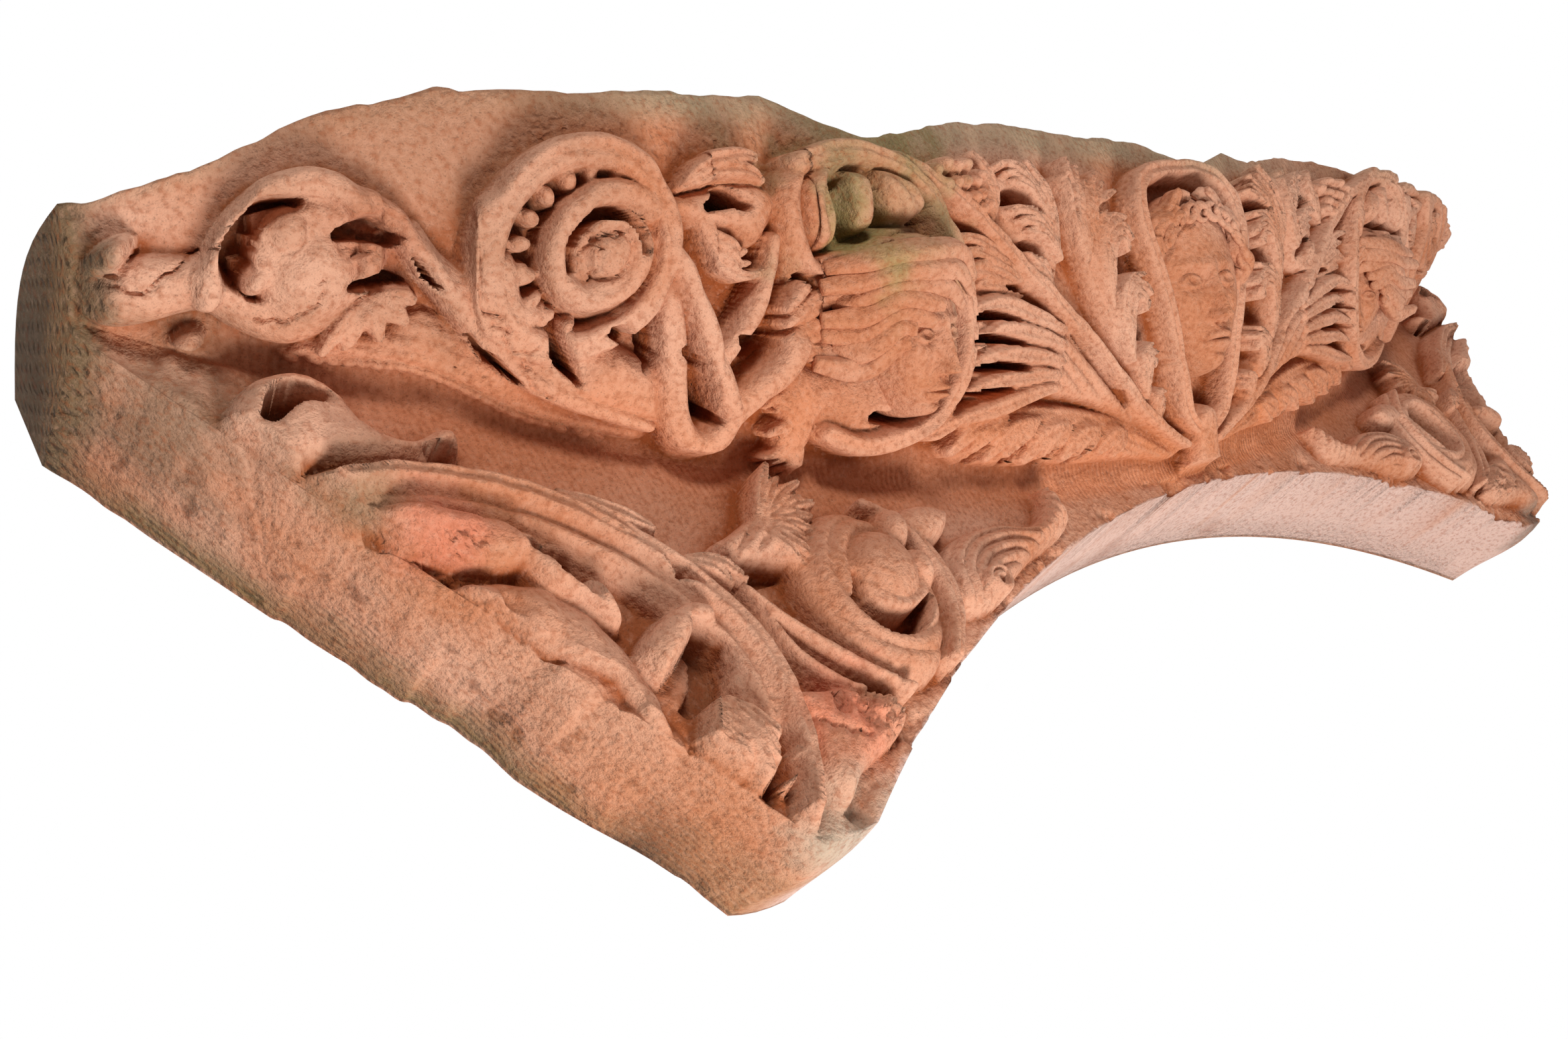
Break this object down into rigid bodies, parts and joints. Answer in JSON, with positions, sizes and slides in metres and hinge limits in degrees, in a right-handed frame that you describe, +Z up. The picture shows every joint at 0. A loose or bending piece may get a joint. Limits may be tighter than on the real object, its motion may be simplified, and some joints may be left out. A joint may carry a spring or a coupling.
{
  "type": "arch keystone",
  "caption": "Carved sandstone arch head, one solid, with a shallow arched soffit, skew joints and a leaning frieze of leaves, scrolls and masks over carved spandrels.",
  "frame": {"origin": "on the flat back bed, on the centre line, half way between the crown of the soffit and the lip of the frieze", "axes": "+X to the right seen from the front, +Y out of the back into the wall, +Z up; the carved front faces -Y"},
  "size_m": [1.656, 0.274, 0.4558],
  "materials": {
    "red_sandstone": "carved, weathered, matt, with a fine open grain"
  },
  "bodies": {
    "root": {"arch_stone": "red_sandstone"}
  },
  "joints": []
}
